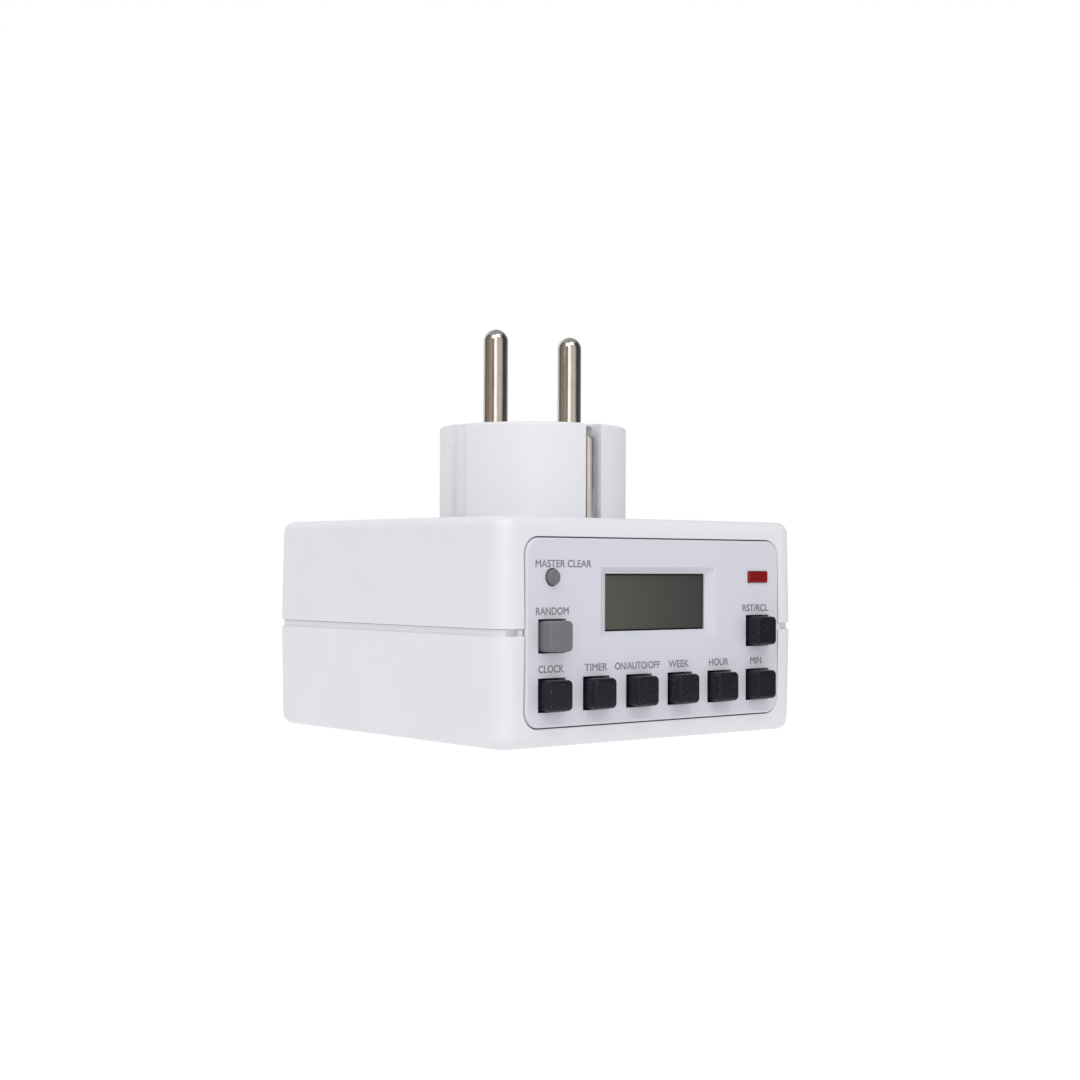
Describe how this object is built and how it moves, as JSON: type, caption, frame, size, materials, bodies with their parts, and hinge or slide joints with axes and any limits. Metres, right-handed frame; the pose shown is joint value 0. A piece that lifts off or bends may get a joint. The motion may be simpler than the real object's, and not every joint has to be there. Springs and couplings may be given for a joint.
{
  "type": "plug-in timer switch",
  "caption": "White digital plug-in timer switch with an earthed round plug, an earthed socket, a display and rubber keys.",
  "frame": {"origin": "centre of the socket recess, in the plane of the socket face that the part stands on", "axes": "+Z from the socket to the plug pins, -Y out of the control panel, +X to the panel's right; the pins lie in a line along X"},
  "size_m": [0.0744, 0.0767, 0.0783],
  "materials": {
    "white_abs": "satin white ABS",
    "dark_rubber": "matt charcoal silicone rubber",
    "grey_rubber": "matt grey silicone rubber",
    "carbon": "printed carbon",
    "nickel_brass": "nickel-plated brass",
    "strip_brass": "bright rolled brass",
    "screw_steel": "zinc-plated steel",
    "board_laminate": "green solder mask on glass laminate",
    "black_moulding": "matt black moulding",
    "pale_moulding": "natural nylon",
    "silicone": "layered silicone connector",
    "lcd_glass": "blank reflective LCD",
    "red_lens": "clear-red diffusing lens",
    "relay_case": "glossy blue case",
    "copper_wire": "enamelled copper",
    "relay_iron": "bright soft iron",
    "capacitor_box": "yellow moulded box",
    "capacitor_can": "aluminium can in a dark sleeve",
    "varistor_lacquer": "blue lacquer",
    "resistor_body": "lacquered ceramic",
    "ribbon_pvc": "grey PVC",
    "brown_pvc": "brown PVC",
    "blue_pvc": "blue PVC"
  },
  "bodies": {
    "housing": {"lcd_frame": "pale_moulding", "zebra_strips": "silicone", "keypad_sheet": "grey_rubber", "contact_pads": "carbon", "control_board": "board_laminate", "controller_chip": "black_moulding", "crystal_can": "screw_steel", "backup_cell": "screw_steel", "cell_clip": "screw_steel", "board_screws": "screw_steel", "housing_screws": "screw_steel", "pin_carrier": "black_moulding", "line_busbar": "strip_brass", "neutral_busbar": "strip_brass", "load_busbar": "strip_brass", "load_contact": "strip_brass", "neutral_contact": "strip_brass", "contact_carrier": "pale_moulding", "front_earth_strip": "nickel_brass", "rear_earth_strip": "nickel_brass", "earth_bridge": "nickel_brass", "shutter_spring": "screw_steel", "power_board": "board_laminate", "film_capacitor": "capacitor_box", "smoothing_capacitor": "capacitor_can", "varistor": "varistor_lacquer", "rectifier_diodes": "black_moulding", "dropper_resistors": "resistor_body", "driver_transistor": "black_moulding", "board_headers": "pale_moulding", "ribbon_cable": "ribbon_pvc", "line_lead": "brown_pvc", "load_lead": "brown_pvc", "neutral_lead": "blue_pvc", "relay_base": "black_moulding", "relay_cover": "relay_case", "relay_bobbin": "pale_moulding", "relay_coil": "copper_wire", "relay_core": "relay_iron", "relay_yoke": "relay_iron", "relay_fixed_contact": "strip_brass", "front_housing": "white_abs", "rear_housing": "white_abs", "control_panel": "white_abs", "lcd_cell": "lcd_glass", "indicator_led": "red_lens", "line_pin": "nickel_brass", "neutral_pin": "nickel_brass"},
    "clock_button": {"clock_button": "dark_rubber"},
    "timer_button": {"timer_button": "dark_rubber"},
    "mode_button": {"mode_button": "dark_rubber"},
    "week_button": {"week_button": "dark_rubber"},
    "hour_button": {"hour_button": "dark_rubber"},
    "minute_button": {"minute_button": "dark_rubber"},
    "random_button": {"random_button": "grey_rubber"},
    "recall_button": {"recall_button": "dark_rubber"},
    "reset_button": {"reset_button": "grey_rubber"},
    "relay_armature": {"relay_armature": "relay_iron"},
    "socket_shutter": {"socket_shutter": "pale_moulding"}
  },
  "joints": [
    {"name": "clock_press", "type": "slide", "parent": "housing", "child": "clock_button", "axis": [0, 1, 0], "range_m": [0, 0.0012], "stiffness_N_per_m": 600, "springref_m": -0.0005},
    {"name": "timer_press", "type": "slide", "parent": "housing", "child": "timer_button", "axis": [0, 1, 0], "range_m": [0, 0.0012], "stiffness_N_per_m": 600, "springref_m": -0.0005},
    {"name": "mode_press", "type": "slide", "parent": "housing", "child": "mode_button", "axis": [0, 1, 0], "range_m": [0, 0.0012], "stiffness_N_per_m": 600, "springref_m": -0.0005},
    {"name": "week_press", "type": "slide", "parent": "housing", "child": "week_button", "axis": [0, 1, 0], "range_m": [0, 0.0012], "stiffness_N_per_m": 600, "springref_m": -0.0005},
    {"name": "hour_press", "type": "slide", "parent": "housing", "child": "hour_button", "axis": [0, 1, 0], "range_m": [0, 0.0012], "stiffness_N_per_m": 600, "springref_m": -0.0005},
    {"name": "minute_press", "type": "slide", "parent": "housing", "child": "minute_button", "axis": [0, 1, 0], "range_m": [0, 0.0012], "stiffness_N_per_m": 600, "springref_m": -0.0005},
    {"name": "random_press", "type": "slide", "parent": "housing", "child": "random_button", "axis": [0, 1, 0], "range_m": [0, 0.0012], "stiffness_N_per_m": 600, "springref_m": -0.0005},
    {"name": "recall_press", "type": "slide", "parent": "housing", "child": "recall_button", "axis": [0, 1, 0], "range_m": [0, 0.0012], "stiffness_N_per_m": 600, "springref_m": -0.0005},
    {"name": "reset_press", "type": "slide", "parent": "housing", "child": "reset_button", "axis": [0, 1, 0], "range_m": [0, 0.0008], "stiffness_N_per_m": 600, "springref_m": -0.0005},
    {"name": "armature_pull", "type": "hinge", "parent": "housing", "child": "relay_armature", "pos_m": [0.0015, 0.03025, 0.01745], "axis": [0, -1, 0], "range_deg": [0, 3.35], "stiffness_Nm_per_rad": 0.01, "springref_deg": -5.73},
    {"name": "shutter_turn", "type": "hinge", "parent": "housing", "child": "socket_shutter", "pos_m": [0, 0, 0.021], "axis": [0, 0, 1], "range_deg": [0, 40], "stiffness_Nm_per_rad": 0.003, "springref_deg": -11.46, "deforming": ["shutter_spring"]}
  ]
}
